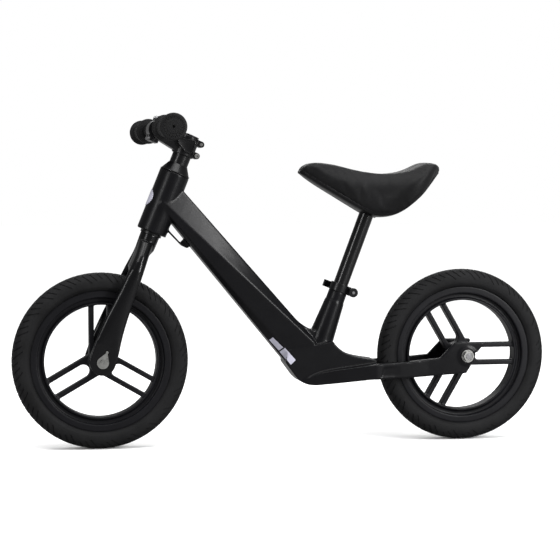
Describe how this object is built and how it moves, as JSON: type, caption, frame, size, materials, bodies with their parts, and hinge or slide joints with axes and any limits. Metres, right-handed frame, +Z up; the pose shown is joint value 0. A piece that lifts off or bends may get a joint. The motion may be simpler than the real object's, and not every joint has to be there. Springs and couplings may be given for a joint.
{
  "type": "balance bike",
  "caption": "Toddler's pedal-less balance bike with a cast step-through frame, foam tyres, twin-bar cast wheels and a quick-release saddle.",
  "frame": {"origin": "on the ground, midway between the wheels, on the centre plane", "axes": "+X forward, +Y to the rider's left, +Z up"},
  "size_m": [0.935, 0.43, 0.5651],
  "materials": {
    "frame_paint": "satin black powder coat",
    "fork_paint": "satin black powder coat",
    "wheel_casting": "satin black moulded nylon",
    "foam_tyre": "matt black foam tyre",
    "grip_rubber": "soft black rubber",
    "saddle_skin": "fine-grained black synthetic leather",
    "saddle_plastic": "black moulded plastic",
    "black_alloy": "black anodised aluminium",
    "black_steel": "black painted steel tube",
    "plain_steel": "plain steel",
    "zinc_steel": "bright zinc-plated steel",
    "badge_print": "blank pale printed disc"
  },
  "bodies": {
    "frame": {"frame": "frame_paint", "head_badge": "badge_print", "lower_headset_outer_ring": "plain_steel", "lower_headset_balls": "plain_steel", "upper_headset_outer_ring": "plain_steel", "upper_headset_balls": "plain_steel", "rear_axle": "plain_steel", "rear_axle_washers": "zinc_steel", "rear_axle_nuts": "zinc_steel", "rear_axle_sleeves": "plain_steel", "rear_bearing_inner_rings": "plain_steel", "seat_clamp_ring": "black_alloy", "seat_clamp_skewer": "plain_steel", "seat_clamp_cam_washer": "plain_steel"},
    "steering": {"fork": "fork_paint", "steerer_tube": "plain_steel", "headset_crown_race": "black_alloy", "lower_headset_inner_ring": "plain_steel", "upper_headset_inner_ring": "plain_steel", "headset_compression_ring": "plain_steel", "headset_top_cover": "black_alloy", "headset_spacer": "black_alloy", "stem": "black_alloy", "stem_pinch_bolts": "zinc_steel", "stem_faceplate": "black_alloy", "stem_faceplate_bolts": "plain_steel", "stem_top_cap": "black_alloy", "stem_top_cap_bolt": "plain_steel", "stem_star_nut": "plain_steel", "handlebar": "black_steel", "left_grip": "grip_rubber", "right_grip": "grip_rubber", "front_axle": "plain_steel", "front_axle_bolts": "zinc_steel", "front_tab_washers": "zinc_steel", "front_axle_sleeves": "plain_steel", "front_bearing_inner_rings": "plain_steel"},
    "front_wheel": {"front_rim": "wheel_casting", "front_tyre": "foam_tyre", "front_bearing_outer_rings": "plain_steel", "front_bearing_balls": "plain_steel"},
    "rear_wheel": {"rear_rim": "wheel_casting", "rear_tyre": "foam_tyre", "rear_bearing_outer_rings": "plain_steel", "rear_bearing_balls": "plain_steel"},
    "seat": {"seat_post": "black_steel", "saddle_base": "saddle_plastic", "saddle_pad": "saddle_skin", "saddle_bolt": "plain_steel", "saddle_nut": "plain_steel"},
    "clamp_lever": {"seat_clamp_lever": "black_alloy", "seat_clamp_lever_pin": "plain_steel"},
    "clamp_adjuster": {"seat_clamp_adjuster": "black_alloy"}
  },
  "joints": [
    {"name": "steering", "type": "hinge", "parent": "frame", "child": "steering", "pos_m": [0.3175, 0, 0.15], "axis": [-0.3746, 0, 0.9272], "range_deg": [-85, 85]},
    {"name": "front_wheel_spin", "type": "hinge", "parent": "steering", "child": "front_wheel", "pos_m": [0.3175, 0, 0.15], "axis": [0, 1, 0], "continuous": true},
    {"name": "rear_wheel_spin", "type": "hinge", "parent": "frame", "child": "rear_wheel", "pos_m": [-0.3175, 0, 0.15], "axis": [0, 1, 0], "continuous": true},
    {"name": "seat_height", "type": "slide", "parent": "frame", "child": "seat", "axis": [-0.3518, 0, 0.9361], "range_m": [-0.127, 0]},
    {"name": "clamp_lever_turn", "type": "hinge", "parent": "frame", "child": "clamp_lever", "pos_m": [-0.1198, -0.01965, 0.26102], "axis": [0.3518, 0, -0.9361], "range_deg": [0, 170]},
    {"name": "clamp_adjuster_turn", "type": "hinge", "parent": "frame", "child": "clamp_adjuster", "pos_m": [-0.1198, 0, 0.26102], "axis": [0, 1, 0], "continuous": true}
  ]
}
